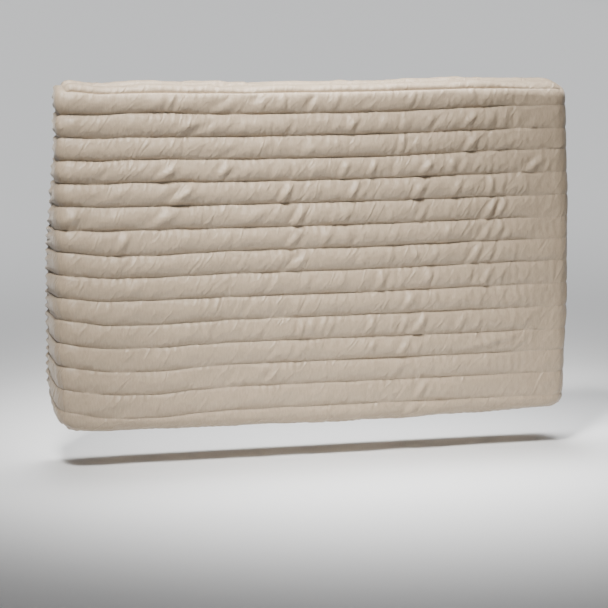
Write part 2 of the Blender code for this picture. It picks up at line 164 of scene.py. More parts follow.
# Main puckers of the front, listed one by one: centre, length, slant from level, half width and height, in
# millimetres and degrees. A negative height is a trough. Each has a weaker hollow along its lower side.
PUCKERS = (
    (-193, 381, 20, 70, 3.5, -0.9),
    (-181, 380, 18, 66, 3.5, -1.1),
    (-128, 380, 40, 30, 5.0, -1.3),
    (-83, 386, 14, 50, 3.5, -0.9),
    (-49, 383, 16, 86, 3.0, 1.0),
    (-16, 380, 22, 56, 4.0, -1.8),
    (17, 383, 18, 66, 4.0, 1.2),
    (55, 380, 16, 30, 4.0, -0.8),
    (105, 384, 12, 62, 2.6, -0.8),
    (113, 382, 16, 62, 2.6, 1.0),
    (119, 386, 12, 55, 2.4, -0.8),
    (132, 382, 14, 60, 2.8, -0.7),
    (190, 387, 14, 80, 4.0, 0.9),
    (-168, 353, 24, 30, 4.0, 1.4),
    (-150, 352, 26, 24, 4.5, -0.9),
    (-57, 350, 18, 70, 4.0, -0.6),
    (38, 354, 22, 56, 3.6, 1.4),
    (30, 357, 18, 76, 3.0, -0.8),
    (97, 356, 18, 76, 3.0, -1.0),
    (135, 354, 20, 58, 3.6, 0.9),
    (145, 357, 16, 62, 3.0, -0.7),
    (182, 359, 18, 42, 3.0, -0.9),
    (189, 360, 22, 46, 3.2, 1.3),
    (205, 355, 20, 78, 2.6, -0.8),
    (214, 356, 20, 78, 2.6, 0.8),
    (222, 354, 20, 74, 2.6, -0.8),
    (232, 356, 20, 80, 2.6, 0.9),
    (243, 356, 24, 84, 3.0, -1.1),
    (270, 350, 24, 56, 3.5, 0.7),
    (-176, 332, 18, 84, 3.5, 0.8),
    (-117, 322, 20, 34, 4.0, -1.0),
    (-60, 330, 20, 82, 3.6, -0.7),
    (-26, 331, 20, 80, 3.4, -0.8),
    (-14, 324, 16, 50, 3.4, 0.7),
    (34, 330, 22, 82, 2.6, -0.7),
    (95, 330, 24, 82, 3.0, -1.3),
    (102, 331, 22, 78, 3.0, 0.9),
    (109, 323, 16, 56, 3.2, 1.1),
    (180, 326, 22, 68, 3.4, -1.3),
    (190, 330, 28, 52, 4.0, 2.0),
    (210, 331, 22, 86, 2.8, -1.0),
    (214, 319, 12, 10, 3.0, -1.6),
    (222, 321, 22, 34, 3.0, 1.3),
    (238, 328, 24, 44, 3.4, 1.0),
    (246, 337, 12, 60, 3.0, -0.7),
    (-268, 299, 24, 32, 4.5, -0.9),
    (-198, 303, 26, 34, 4.0, -1.3),
    (-190, 300, 26, 32, 4.0, 1.4),
    (-128, 303, 22, 52, 3.4, -0.9),
    (-121, 301, 22, 46, 3.8, 1.3),
    (-65, 297, 16, 80, 3.2, -0.6),
    (-38, 301, 18, 86, 2.8, -0.9),
    (-17, 301, 18, 78, 3.0, -0.6),
    (22, 302, 22, 66, 3.0, -1.0),
    (28, 301, 22, 66, 3.4, 1.0),
    (57, 302, 22, 68, 3.0, -0.9),
    (63, 302, 22, 64, 3.4, 1.4),
    (90, 301, 20, 72, 3.0, -0.8),
    (122, 299, 26, 50, 3.4, -1.2),
    (131, 300, 28, 46, 3.8, 1.5),
    (165, 302, 20, 80, 4.6, 1.2),
    (176, 303, 18, 60, 3.0, -0.8),
    (192, 303, 20, 70, 3.0, -0.7),
    (258, 300, 34, 40, 3.6, -1.2),
    (267, 298, 34, 38, 4.0, 1.2),
    (-252, 275, 34, 32, 5.5, 0.8),
    (-178, 277, 36, 38, 4.0, -1.6),
    (-171, 275, 38, 38, 4.0, 1.9),
    (-162, 270, 30, 32, 4.0, 0.9),
    (-52, 274, 26, 62, 3.4, -1.6),
    (-45, 274, 28, 60, 3.8, 1.9),
    (-6, 272, 20, 58, 3.4, 0.7),
    (33, 276, 20, 58, 3.0, -0.8),
    (41, 277, 26, 58, 3.8, 1.4),
    (46, 268, 14, 60, 3.0, 0.8),
    (114, 272, 22, 66, 3.2, -1.3),
    (121, 271, 26, 48, 3.8, 1.7),
    (133, 278, 18, 56, 3.2, -0.8),
    (170, 274, 24, 60, 3.6, 1.3),
    (177, 273, 22, 62, 3.0, -0.9),
    (207, 276, 26, 86, 2.8, -1.3),
    (213, 275, 26, 80, 3.2, 1.5),
    (228, 277, 22, 74, 3.0, 0.9),
    (257, 277, 24, 80, 3.4, 0.8),
    (-306, 247, 22, 40, 5.0, 1.4),
    (-292, 240, 26, 34, 4.6, -0.7),
    (-190, 248, 42, 34, 5.5, 1.2),
    (-205, 249, 36, 36, 4.6, -0.8),
    (-80, 249, 34, 32, 5.5, 0.9),
    (-36, 246, 28, 62, 3.6, -1.8),
    (-28, 247, 30, 58, 4.0, 1.9),
    (8, 244, 20, 66, 3.2, -0.6),
    (29, 246, 18, 70, 3.4, 0.8),
    (80, 249, 10, 80, 3.4, -0.8),
    (120, 244, 18, 66, 3.0, -0.8),
    (127, 243, 20, 60, 3.4, 1.2),
    (134, 245, 18, 60, 2.8, -0.6),
    (206, 246, 28, 60, 3.2, -1.4),
    (213, 248, 28, 60, 3.6, 1.7),
    (220, 249, 26, 62, 3.0, -1.3),
    (227, 250, 22, 58, 3.2, 1.1),
    (-252, 218, 26, 66, 4.2, -1.0),
    (-243, 219, 28, 58, 4.6, 1.2),
    (-42, 219, 26, 46, 3.6, -0.8),
    (-34, 219, 32, 46, 4.0, 1.4),
    (4, 219, 26, 56, 3.8, 1.0),
    (40, 215, 16, 60, 3.4, -0.5),
    (92, 220, 20, 64, 3.6, 0.7),
    (160, 223, 16, 66, 3.2, 0.9),
    (201, 219, 24, 62, 3.2, -1.2),
    (209, 220, 22, 64, 3.0, 0.8),
    (221, 219, 26, 58, 3.6, 1.4),
    (230, 220, 20, 60, 3.0, -0.7),
    (-246, 192, 26, 56, 4.6, 1.0),
    (-40, 190, 32, 42, 4.0, -1.3),
    (-27, 190, 26, 46, 4.0, 0.8),
    (85, 193, 18, 70, 4.4, 0.9),
    (140, 190, 20, 60, 3.4, 0.8),
    (188, 193, 24, 66, 3.2, -1.2),
    (195, 193, 26, 64, 3.6, 1.6),
    (212, 192, 20, 70, 3.2, 1.0),
    (219, 191, 22, 70, 2.8, -0.9),
    (241, 193, 18, 80, 3.0, 0.7),
    (285, 186, 16, 64, 3.0, 0.7),
    (-226, 166, 26, 44, 4.4, 0.6),
    (-68, 163, 24, 56, 4.0, -0.8),
    (-20, 164, 22, 68, 3.6, 0.8),
    (69, 165, 20, 76, 3.0, -1.0),
    (76, 164, 24, 66, 3.8, 1.5),
    (96, 168, 16, 84, 3.0, -0.6),
    (135, 167, 22, 66, 3.8, 1.1),
    (141, 164, 18, 70, 2.8, -0.7),
    (189, 169, 18, 66, 3.2, 1.2),
    (203, 166, 22, 62, 3.0, -0.9),
    (209, 165, 26, 64, 3.4, 1.4),
    (228, 165, 18, 74, 3.0, 0.6),
    (-95, 137, 26, 52, 4.0, -0.7),
    (-68, 138, 20, 80, 3.6, 0.6),
    (-30, 140, 20, 70, 3.4, 1.0),
    (103, 137, 22, 62, 3.2, -0.8),
    (110, 137, 26, 58, 3.8, 1.2),
    (145, 143, 14, 84, 3.4, 1.1),
    (162, 138, 18, 56, 3.2, -0.6),
    (230, 146, 12, 70, 3.0, 0.8),
    (-141, 109, 20, 76, 3.2, 0.8),
    (-100, 110, 18, 84, 3.0, -0.6),
    (-31, 110, 20, 84, 3.0, -1.4),
    (-25, 108, 16, 70, 3.0, 0.9),
    (-12, 113, 12, 70, 3.4, 0.9),
    (58, 111, 16, 70, 3.0, -0.9),
    (65, 110, 18, 64, 3.4, 1.0),
    (99, 110, 22, 74, 3.0, -1.0),
    (105, 109, 22, 64, 3.4, 1.1),
    (117, 107, 26, 50, 3.4, -1.2),
    (125, 109, 30, 52, 4.0, 1.7),
    (170, 109, 22, 60, 3.2, -0.8),
    (179, 109, 20, 66, 3.4, 0.8),
    (200, 109, 16, 70, 3.0, 0.5),
    (-64, 81, 24, 46, 3.8, -0.8),
    (-26, 84, 18, 60, 3.6, 0.6),
    (64, 85, 16, 60, 4.2, 1.3),
    (98, 82, 26, 52, 3.6, -1.0),
    (105, 80, 24, 50, 3.8, 0.9),
    (123, 78, 14, 70, 3.6, 1.0),
    (213, 83, 64, 12, 2.6, 1.3),
    (238, 88, 16, 28, 2.4, 0.8),
    (-112, 56, 24, 50, 3.8, -0.8),
    (-66, 55, 20, 54, 3.4, -1.4),
    (-59, 56, 18, 54, 3.2, 0.6),
    (99, 56, 26, 54, 4.2, 0.8),
    (170, 56, 16, 70, 3.4, 0.4),
    (-262, 27, 60, 14, 6.5, 0.9),
    (60, 28, 18, 80, 3.0, -0.5),
    (122, 28, 22, 62, 3.2, -1.0),
    (129, 28, 26, 56, 3.8, 1.6),
    (143, 31, 14, 64, 3.0, 1.1),
    (110, 3, 22, 60, 3.2, -0.7),
    (118, 5, 22, 52, 3.6, 1.3),
)

# Puckers of the top wall: centre along the width, depth behind the front, length, slant, half width, height
TOP_PUCKERS = (
    (-132, 20, 46, 50, 5.0, 1.4),
    (-112, 24, 50, 52, 5.0, -1.2),
    (-90, 30, 40, 60, 4.0, 1.0),
    (20, 24, 44, 48, 5.0, 1.2),
    (44, 34, 34, 56, 4.5, -1.0),
    (170, 26, 50, 50, 5.0, 1.4),
    (196, 30, 46, 58, 5.0, -1.3),
    (226, 26, 36, 64, 4.0, 1.0),
    (262, 34, 40, 40, 5.0, 0.8),
)

# How high the puckers stand, how sharp their ridges are, and the hollow beside each
PUCKER_STRENGTH = 2.1
PUCKER_STRETCH = 1.4
PUCKER_END_POWER = 1.3
PUCKER_REACH = 3.5
PUCKER_SEAM_POWER = 0.65
RIDGE_SHARPNESS = 1.5
HOLLOW_SHARE = 0.5
HOLLOW_ASIDE = 1.6
TOP_PUCKERS_START = (0, 0.008)

# Small random puckers that pull away from the stitches, seeded, in millimetres and degrees. Busy is how
# high they stand: at the left end, how much more to the right, and less at the far right and at the foot.
SMALL_PUCKER_SEED = 11
SMALL_PUCKERS_PER_CHANNEL = 60
SMALL_PUCKER_HEIGHT = 0.34
SMALL_PUCKER_SPAN = (-310, 300)
SMALL_PUCKER_LEVELS = (0.25, 0.75)
SMALL_PUCKER_SLANTS = (38, 88)
SMALL_PUCKER_LENGTHS = (10, 24)
SMALL_PUCKER_HALF_WIDTHS = (2.2, 4.2)
BUSY_AT_LEFT = 0.35
BUSY_GAIN = 0.65
BUSY_GROWS = (-200, -20)
BUSY_FAR_RIGHT = (240, 300)
BUSY_FAR_RIGHT_LOSS = 0.5
BUSY_LOW_CHANNELS = (9, 13)
BUSY_LOW_LOSS = 0.45

# In-and-out pulls beside the stitch lines, wide soft dents, and the pinch along each line
RIPPLE = 0.00036
RIPPLE_PITCH = 0.0105
RIPPLE_SHIFT = 1.9
RIPPLE_BEND = (1.6, 0.083, 2.3)
RIPPLE_STRENGTH = (0.6, 0.4, 0.19, 1.3)
RIPPLE_GAIN = 2.2
SIDE_RUN = (1.1, 0.4)
DENT = 0.0009
DENT_SIZE = 0.070
SMALL_DENT = 0.0004
SMALL_DENT_SIZE = 0.026
SEAM_PINCH = 0.0009
SEAM_PINCH_REACH = 0.0013

# Unevenness is a sum of crossing waves. The seeds keep each use of it apart.
UNEVEN_WAVES = 7
UNEVEN_PITCHES = (0.6, 1.7)
UNEVEN_SUM = 1.4
CROWN_SEED = 3
LINE_SEED = 5
DENT_SEED = 9
SMALL_DENT_SEED = 21
SIDE_RIPPLE_SEED = 31

# Corner seam at the foot of the left side wall, with the two lips of cloth under it
CORNER_GROOVE = 0.0016
CORNER_GROOVE_REACH = 0.0022
LIP_HEIGHT = 0.0014
LIP_PITCH = 0.010
LIP_REACH = 0.020
CORNER_FOLDS_START = (0.004, 0.030)

# Grids of the outer and the inner cloth
CHANNEL_STEPS = (0, 0.04, 0.10, 0.18, 0.28, 0.40, 0.52, 0.64, 0.76, 0.87, 0.95)
FOOT_STEPS = (0, 0.05, 0.14, 0.26, 0.4, 0.55, 0.7, 0.85)
COLUMNS = 318
ARC_COLUMNS = 6
EDGE_DEPTHS = (0.0, 0.001, 0.0022, 0.0038, 0.0058, 0.0082, 0.011, 0.0145, 0.018, FRONT_RADIUS)
DEPTH_LINES = 15
INNER_CHANNEL_STEPS = (0, 0.12, 0.32, 0.5, 0.68, 0.88)
INNER_COLUMNS = 44
INNER_ARC_COLUMNS = 4
INNER_DEPTH_LINES = 10
RIM_STEPS = 5
RIM_INSIDE = 0.003
RIM_LAST_SHARE = 0.4
RIM_FLAT_WIDTH = 0.002
RIM_FLAT_STEP = 0.6

# Stitches: their lines are followed in small steps and end short of the hem band. Along one stitch, the
# stations are shares of its length, and the lifts are shares of the thread's radius.
STITCH_LINE_STEP = 0.0004
STITCH_LINES_END = DEPTH - 1.2 * HEM_BAND
LAST_WALL_LINE = DEPTH - 1.3 * HEM_BAND
HEM_LINE_LENGTH = 0.40
STITCH = 0.0030
STITCH_GAP = 0.0008
THREAD_RADIUS = 0.00022
STITCH_SINK = 0.00005
STITCH_SIDES = 4
STITCH_STATIONS = (0.0, 0.25, 0.75, 1.0)
STITCH_LIFTS = (-0.6, 0.9, 0.9, -0.6)

# Colours
CLOTH_DEEP = (0.385, 0.300, 0.208, 1.0)
CLOTH_PALE = (0.425, 0.330, 0.235, 1.0)
CLOTH_SHEEN = (0.95, 0.90, 0.84, 1.0)
THREAD_DEEP = (0.300, 0.250, 0.195, 1.0)
THREAD_PALE = (0.380, 0.320, 0.255, 1.0)
FLOOR_COLOUR = (0.80, 0.81, 0.82, 1.0)
SURROUNDINGS = (0.97, 0.97, 0.98, 1.0)
SURROUNDINGS_STRENGTH = 0.12

# Camera: what it is turned to, how far off it stands, its angles in degrees, its lens in millimetres
CAMERA_TARGET = (-0.0063, 0.0001, -0.2576)
CAMERA_DISTANCE = 3.2907
CAMERA_YAW = 17.64
CAMERA_PITCH = 8.25
CAMERA_ROLL = 0.46
CAMERA_LENS = 160.33
SENSOR = 36.0
VIEW_ENDS = 200
FLOOR_LEVEL = -0.440
FLOOR_SIZE = 80.0
MIDDLE = (0.0, 0.0, -0.18)


def smooth(value):
    """Runs gently from 0 to 1 as the value does."""
    t = np.clip(value, 0.0, 1.0)
    return t * t * (3 - 2 * t)


def between(value, start, end):
    """Runs gently from 0 at the start to 1 at the end."""
    return smooth((value - start) / (end - start))


def uneven(u, v, size, seed):
    """Smooth unevenness from -1 to 1 or so, made of a few crossing waves about one size apart."""
    random = np.random.default_rng(seed)
    total = np.zeros(np.broadcast(u, v).shape)
    for _ in range(UNEVEN_WAVES):
        turn = random.uniform(0, math.pi)
        pitch = size * random.uniform(*UNEVEN_PITCHES)
        start = random.uniform(0, 2 * math.pi)
        total += np.sin(2 * math.pi * (u * math.cos(turn) + v * math.sin(turn)) / pitch + start)
    return total / math.sqrt(UNEVEN_WAVES * UNEVEN_SUM)


def wander(run, bends):
    """Slow to-and-fro along a run, as a sum of waves, each with its strength, size and start."""
    return sum(strength * np.sin(run / size + start) for strength, size, start in bends)


def pillow(phase):
    """Height across one channel: 0 on its two stitch lines and 1 along its middle."""
    f = (phase - np.floor(phase)) ** SAG
    return (1 - np.abs(2 * f - 1) ** PILLOW_FLATNESS) ** PILLOW_POWER


def line_distance(phase):
    """How far the nearest stitch line is."""
    return np.abs(phase - np.round(phase)) * CHANNEL


def row_values(name, row):
    """One column of ROWS at any row, with straight steps between the sewn lines."""
    values = np.array([line[ROW_COLUMNS.index(name)] for line in ROWS])
    lower = np.minimum(np.floor(row).astype(int), FOOT - 1)
    part = row - lower
    return values[lower] * (1 - part) + values[lower + 1] * part


def line_height(row, x, e):
    """Height of a line of the grid. Whole rows are sewn lines, and e is the depth behind the front."""
    height = row_values("level", row) + row_values("left_end", row) * between(x, *LEFT_END)
    height += row_values("left_third", row) * np.exp(-(((x - LEFT_THIRD_AT) / LEFT_THIRD_REACH) ** 2))
    height += row_values("right_end", row) * between(x, *RIGHT_END)
    share = np.where(x < 0, 1.0, RIGHT_RISE_SHARE) * between(np.abs(x), SIDE_RISE_FROM, HALF)
    height += row_values("side_rise", row) * share * (e / DEPTH) ** SIDE_RISE_POWER
    return height * MM - ORIGIN_LEVEL


def fullness(row, x):
    """How full a channel is: less towards the foot, and drawn flat towards the right end."""
    values = np.array([line[ROW_COLUMNS.index("fullness")] for line in ROWS])
    full = values[np.minimum(np.floor(row).astype(int), FOOT)]
    low_left = between(row, *LOW_LEFT_ROWS) * between(x, *LOW_LEFT_FROM)
    full = full * (1 - LOW_LEFT_SHARE * low_left)
    return full * (1 - FLAT_SHARE * between(x, FLAT_FROM_X, HALF)) * faded(x)


def faded(x):
    """How much of the seams' depth is left towards the tightly drawn right end."""
    return 1 - FADE_SHARE * between(x, FADE_FROM_X, HALF)


def phase_of(row, x, e):
    """Place across the channels, by whole numbers from line to line, all over the cover."""
    edge = 1 - between(HALF - np.abs(x), 0.0, CORNER_BLEND)
    ends = FOOT_PHASE + (1 - FOOT_PHASE) * np.maximum(edge, between(e, 0.0, FOOT_BLEND))
    front = np.where(row > FOOT - 1, FOOT - 1 + (row - FOOT + 1) * ends, row)
    on_side = np.abs(x) >= HALF
    foot_end = FOOT_PHASE + (1 - FOOT_PHASE) * edge
    near = FOOT - 1 + foot_end + (1 - foot_end) * e / BOTTOM_FIRST_LINE
    beyond = FOOT + (e - BOTTOM_FIRST_LINE) / CHANNEL
    bottom = np.where(e < BOTTOM_FIRST_LINE, near, beyond)
    phase = np.where((row == FOOT) & ~on_side, bottom, front)
    return np.where((row == 0) & ~on_side, -e / CHANNEL, phase)


def lens(u, v, centre_u, centre_v, length, slant, half_width):
    """One short slanting ridge with a weaker hollow along its lower right side. Sizes in millimetres."""
    c, s = math.cos(math.radians(slant)), math.sin(math.radians(slant))
    along = ((u - centre_u) * c + (v - centre_v) * s) / (length * PUCKER_STRETCH / 2)
    aside = ((v - centre_v) * c - (u - centre_u) * s) / half_width
    ends = np.clip(1 - along**2, 0, None) ** PUCKER_END_POWER
    ridge = np.exp(-np.abs(aside) ** RIDGE_SHARPNESS)
    hollow = HOLLOW_SHARE * np.exp(-((aside + HOLLOW_ASIDE) ** 2))
    return ends * (ridge - hollow)


def small_puckers():
    """Rows as in PUCKERS, at random: many in the right two thirds, few and weak at the left."""
    random = np.random.default_rng(SMALL_PUCKER_SEED)
    found = []
    for channel in range(FOOT):
        high, low = ROWS[channel][0], ROWS[channel + 1][0]
        for _ in range(SMALL_PUCKERS_PER_CHANNEL):
            x = random.uniform(*SMALL_PUCKER_SPAN)
            far_right = float(between(x, *BUSY_FAR_RIGHT))
            grown = float(between(x, *BUSY_GROWS))
            busy = BUSY_AT_LEFT + BUSY_GAIN * grown * (1 - BUSY_FAR_RIGHT_LOSS * far_right)
            busy *= 1 - BUSY_LOW_LOSS * float(between(channel, *BUSY_LOW_CHANNELS))
            level = low + (high - low) * random.uniform(*SMALL_PUCKER_LEVELS)
            slant = random.uniform(*SMALL_PUCKER_SLANTS)
            length = random.uniform(*SMALL_PUCKER_LENGTHS)
            half_width = random.uniform(*SMALL_PUCKER_HALF_WIDTHS)
            height = random.normal(0, SMALL_PUCKER_HEIGHT) * busy
            found.append((x, level, length, slant, half_width, height))
    return found


def relief_of_front(x, z):
    """All the puckers of the front, in metres."""
    u, v = x / MM, (z + ORIGIN_LEVEL) / MM
    total = np.zeros_like(x)
    for centre_u, centre_v, length, slant, half_width, height in (*PUCKERS, *small_puckers()):
        reach = length * PUCKER_STRETCH / 2 + PUCKER_REACH * half_width
        near = (np.abs(u - centre_u) < reach) & (np.abs(v - centre_v) < reach)
        total[near] += height * lens(u[near], v[near], centre_u, centre_v, length, slant, half_width)
    return total * PUCKER_STRENGTH * MM


def relief_of_top(x, e):
    """All the puckers of the top wall, in metres."""
    u, v = x / MM, e / MM
    total = np.zeros_like(x)
    for centre_u, centre_v, length, slant, half_width, height in TOP_PUCKERS:
        total += height * lens(u, v, centre_u, centre_v, length, slant, half_width)
    return total * MM * between(e, *TOP_PUCKERS_START)


def seam_ripple(u, phase):
    """Little in-and-out pulls of the cloth beside each stitch line."""
    line = np.round(phase)
    bend_share, bend_pitch, bend_shift = RIPPLE_BEND
    bend = bend_share * np.sin(2 * math.pi * u / bend_pitch + bend_shift * line)
    wave = np.sin(2 * math.pi * u / RIPPLE_PITCH + bend + RIPPLE_SHIFT * line)
    least, more, strength_pitch, strength_shift = RIPPLE_STRENGTH
    strength = least + more * np.sin(2 * math.pi * u / strength_pitch + strength_shift * line)
    full = pillow(phase)
    return RIPPLE * wave * strength * np.sqrt(full) * (1 - full**2) * RIPPLE_GAIN


def upright_ripples(x, z):
    """Fine upright ripples in the drawn cloth near the right end."""
    bend = wander(z, SIDE_RIPPLE_BENDS)
    wave = np.sin(2 * math.pi * (x + SIDE_RIPPLE_LEAN * z) / SIDE_RIPPLE_PITCH + bend)
    patchy = 0.5 + 0.5 * uneven(x, z, SIDE_RIPPLE_PATCH, SIDE_RIPPLE_SEED)
    return SIDE_RIPPLE * wave * between(x, FLAT_FROM_X, FADE_FROM_X) * patchy


def gathers(x, z, e):
    """In-and-out folds that the elastic pulls into the hem, fading towards the front."""
    on_side = np.abs(x) >= HALF
    run = np.where(on_side, z + GATHER_LEAN * e, x)
    wave = np.sin(2 * math.pi * run / GATHER_PITCH + wander(run, GATHER_BENDS))
    upper_left = between(-x, BACK_CORNER_FROM, HALF) * between(z, *GATHER_HIGH)
    starts = GATHER_STARTS + GATHER_LATER * (1 - upper_left)
    on_top = (z > -CHANNEL) & ~on_side
    share = np.where(on_top, GATHER_TOP_SHARE, 1.0)
    return GATHER * wave * share * between(e, starts, DEPTH)


def hang(x, y, z, e):
    """Bows, swells and draws in a point of the boxed cloth, as the whole cover hangs."""
    top = line_height(np.zeros_like(x), x, e)
    foot = line_height(np.full_like(x, FOOT), x, e)
    up = np.clip((z - foot) / (top - foot), 0.0, 1.0)
    aside = between(np.abs(x), WALLS_MOVE_FROM, HALF)
    side = np.sign(x)
    bow_right = BOW_RIGHT * np.sin(np.pi * up) + FOOT_OUT_RIGHT * (1 - up)
    bow = np.where(x < 0, BOW_LEFT * np.sin(np.pi * up), bow_right)
    high = between(up, *HEM_HIGH_PART)
    late = between(e, HEM_STARTS, HEM_ENDS)
    whole = (np.clip(e, 0, DEPTH) / DEPTH) ** HEM_DRAW_POWER
    left_in = HEM_LEFT_LOW * late + (HEM_LEFT_HIGH - HEM_LEFT_LOW) * high * whole
    inward = np.where(x < 0, left_in, HEM_RIGHT * late)
    swell = FRONT_SWELL * (1 - (x / HALF) ** 2) * np.sin(np.pi * up) * (1 - e / DEPTH)
    lift = HEM_BOTTOM * between(1 - up, *HEM_LIFTED_PART) - HEM_TOP * between(up, *HEM_LIFTED_PART)
    rise = TOP_SWELL * np.sin(np.pi * np.clip(e, 0, DEPTH) / DEPTH) * between(up, *TOP_SWELL_PART)
    return x + side * aside * (bow - inward), y - swell, z + lift * late + rise


def cloth_point(x, row, e, outer):
    """Points of the cloth's outer or inner face, as an array with x, y and z in its last axis."""
    z = line_height(row, x, e)
    top = line_height(np.zeros_like(x), x, e)
    foot = line_height(np.full_like(x, FOOT), x, e)
    inside = (row > 0) & (row < FOOT)
    wobble = uneven(x, row * LINE_WOBBLE_PER_ROW, LINE_WOBBLE_SIZE, LINE_SEED)
    z = z + LINE_WOBBLE * inside * wobble
    y = -DEPTH / 2 + e
    right = between(x, RIGHT_ROUNDING_FROM, HALF)
    low = between(top - z, *FRONT_ROUNDING_DROP)
    corner = between(-x, BACK_CORNER_FROM, HALF) * between(top - z, *BACK_CORNER_DROP)
    back = BACK_CORNER_GROWTH * corner * e / DEPTH
    rx = np.where(x < 0, SIDE_RADIUS_LEFT, SIDE_RADIUS_RIGHT) + back
    ry_top = TOP_FRONT_RADIUS + (FRONT_RADIUS - TOP_FRONT_RADIUS) * right
    ry = ry_top + (FRONT_RADIUS - ry_top) * low
    rz_top = TOP_RADIUS + (TOP_RIGHT_RADIUS - TOP_RADIUS) * right
    rz_low = BOTTOM_RADIUS + back
    out_x = np.sign(x) * np.clip(np.abs(x) - (HALF - rx), 0, None) / rx
    out_y = -np.clip(ry - e, 0, None) / ry
    out_top = np.clip(z - (top - rz_top), 0, None) / rz_top
    out_low = np.clip((foot + rz_low) - z, 0, None) / rz_low
    length = np.sqrt(out_x**2 + out_y**2 + out_top**2 + out_low**2)

    phase = phase_of(row, x, e)
    on_wall = (row == 0) | (row == FOOT)
    on_side = np.abs(x) >= HALF
    seamed = np.where(on_wall & (e > 0), between(HALF - np.abs(x), 0.0, CORNER_SEAM_REACH), 1.0)
    at_first = (row == FOOT) & (e < BOTTOM_FIRST_LINE)
    full = pillow(phase) * np.where(at_first, 1.0, seamed)
    puff = full * fullness(np.clip(phase, 0, FOOT), x)
    band = between(e, *HEM_BAND_BLEND)
    offset = gathers(x, z, e)
    if outer:
        puff = puff * (1 - HEM_FLAT_SHARE * between(e, HEM_FLAT_FROM, DEPTH)) * (1 - band)
        puff = puff * (1 - WALL_FLAT_SHARE * between(e, 0, WALL_FLAT_BY) * on_side)
        crown = 1 + CROWN_UNEVEN * uneven(x, z, CROWN_UNEVEN_SIZE, CROWN_SEED)
        offset = offset + CROWN_OUT * puff * crown
        offset = offset + HEM_BAND_CROWN * np.sin(np.pi * between(e, *HEM_BAND_CROWN_PART))
        front = e == 0
        offset = offset + relief_of_front(x, z) * pillow(phase) ** PUCKER_SEAM_POWER * front
        offset = offset + relief_of_top(x, e) * ((row == 0) & ~on_side) * seamed
        run = np.where(on_side, e * SIDE_RUN[0] + SIDE_RUN[1], x)
        offset = offset + seam_ripple(run, phase) * (1 - band) * np.where(on_wall, seamed, 1.0)
        offset = offset + DENT * uneven(x + e, z - e, DENT_SIZE, DENT_SEED) * full
        offset = offset + SMALL_DENT * uneven(x + e, z - e, SMALL_DENT_SIZE, SMALL_DENT_SEED) * full
        pinch = np.exp(-((line_distance(phase) / SEAM_PINCH_REACH) ** 2)) * faded(x) * (1 - band)
        offset = offset - SEAM_PINCH * pinch
        offset = offset + upright_ripples(x, z) * full * front
        offset = offset + corner_folds(x, row, e)
    else:
        offset = offset - SEAM_THICKNESS - CROWN_IN * puff * (1 - band)

    px = x - out_x * rx + (rx + offset) * out_x / length
    py = y - out_y * ry + (ry + offset) * out_y / length
    pz = z - out_top * rz_top + (rz_top + offset) * out_top / length
    pz = pz + out_low * rz_low - (rz_low + offset) * out_low / length
    return np.stack(hang(px, py, pz, e), axis=-1)


def corner_folds(x, row, e):
    """The sunk corner seam at the foot of the side walls, and the lips of cloth beneath it."""
    below = row == FOOT
    away = HALF - np.abs(x)
    back = between(e, *CORNER_FOLDS_START)
    groove = -CORNER_GROOVE * np.exp(-((away / CORNER_GROOVE_REACH) ** 2)) * below
    up = (FOOT - row) * CHANNEL
    on_side = np.abs(x) >= HALF
    groove = np.where(on_side, -CORNER_GROOVE * np.exp(-((up / CORNER_GROOVE_REACH) ** 2)), groove)
    lips = LIP_HEIGHT * np.sin(2 * math.pi * away / LIP_PITCH) * np.exp(-away / LIP_REACH) * below
    return (groove + lips * (x < 0)) * back


def grid_lines(channel_steps, foot_steps, count, arc_count):
    """Rows from the top edge to the foot, and columns from the left end to the right."""
    rows = [line + step for line in range(FOOT - 1) for step in channel_steps]
    rows += [FOOT - 1 + step for step in foot_steps] + [FOOT]
    turns = np.tan(np.linspace(math.pi / 4, 0, arc_count + 1))
    left = list(-HALF + SIDE_RADIUS_LEFT * (1 - turns))
    right = list(HALF - SIDE_RADIUS_RIGHT * (1 - turns[::-1]))
    middle = list(np.linspace(left[-1], right[0], count + 1)[1:-1])
    return np.array(rows, dtype=float), np.array(left + middle + right)


def patches(rows, columns, depths):
    """The five faces of the open box, each as grids of x, row, depth and flat cloth coordinates."""
    x, row = np.meshgrid(columns, rows, indexing="ij")
    yield x, row, np.zeros_like(x), x, -row * CHANNEL
    for side in (-1, 1):
        row, e = np.meshgrid(rows, depths, indexing="ij")
        yield np.full_like(row, side * HALF), row, e, side * (HALF + e), -row * CHANNEL
    for row, way in ((0.0, 1), (float(FOOT), -1)):
        x, e = np.meshgrid(columns, depths, indexing="ij")
        yield x, np.full_like(x, row), e, x, -row * CHANNEL + way * e


def grid_key(outer, x, row, e):
    """One name for all points at the same place in the cloth's grid."""
    return outer, round(x, 7), round(row, 4), round(e, 7)


